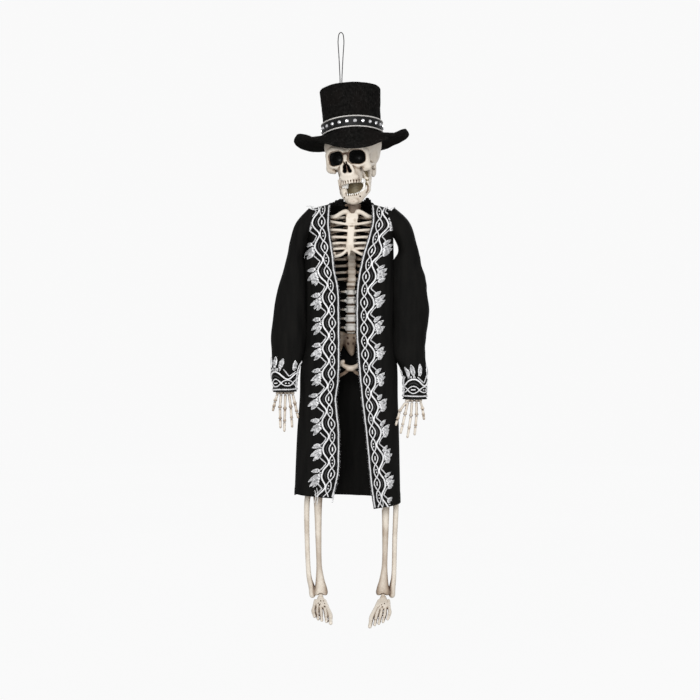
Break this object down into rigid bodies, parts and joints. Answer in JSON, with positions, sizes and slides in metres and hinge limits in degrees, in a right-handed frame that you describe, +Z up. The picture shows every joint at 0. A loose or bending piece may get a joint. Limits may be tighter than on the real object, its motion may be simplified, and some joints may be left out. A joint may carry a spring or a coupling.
{
  "type": "hanging skeleton figure",
  "caption": "Hanging plastic skeleton in an open black coat with silver embroidered borders and a felt top hat, on a thread loop.",
  "frame": {"origin": "top of the thread loop that the figure hangs by", "axes": "+Z up along the hanging figure, -Y the way it faces, +X towards its own left side"},
  "size_m": [0.1277, 0.0866, 0.4817],
  "materials": {
    "bone_plastic": "satin",
    "hat_felt": "matte",
    "hat_ribbon": "matte",
    "silver_cord": "satin",
    "rhinestone": "polished",
    "coat_cloth": "matte",
    "embroidery": "satin",
    "hanging_thread": "matte"
  },
  "bodies": {
    "root": {"thread_loop": "hanging_thread", "hat": "hat_felt", "hat_band": "hat_ribbon", "skull": "bone_plastic", "jaw": "bone_plastic", "spine": "bone_plastic", "breastbone": "bone_plastic", "rib_cage_right": "bone_plastic", "rib_cage_left": "bone_plastic", "pelvis": "bone_plastic", "upper_arm_right": "bone_plastic", "forearm_right": "bone_plastic", "hand_right": "bone_plastic", "thigh_right": "bone_plastic", "shin_right": "bone_plastic", "foot_right": "bone_plastic", "upper_arm_left": "bone_plastic", "forearm_left": "bone_plastic", "hand_left": "bone_plastic", "thigh_left": "bone_plastic", "shin_left": "bone_plastic", "foot_left": "bone_plastic", "coat_back": "coat_cloth", "coat_front_right": "coat_cloth", "coat_front_left": "coat_cloth", "sleeve_right": "coat_cloth", "sleeve_left": "coat_cloth", "border_right": "embroidery", "border_left": "embroidery", "cuff_border_right": "embroidery", "cuff_border_left": "embroidery"}
  },
  "joints": []
}
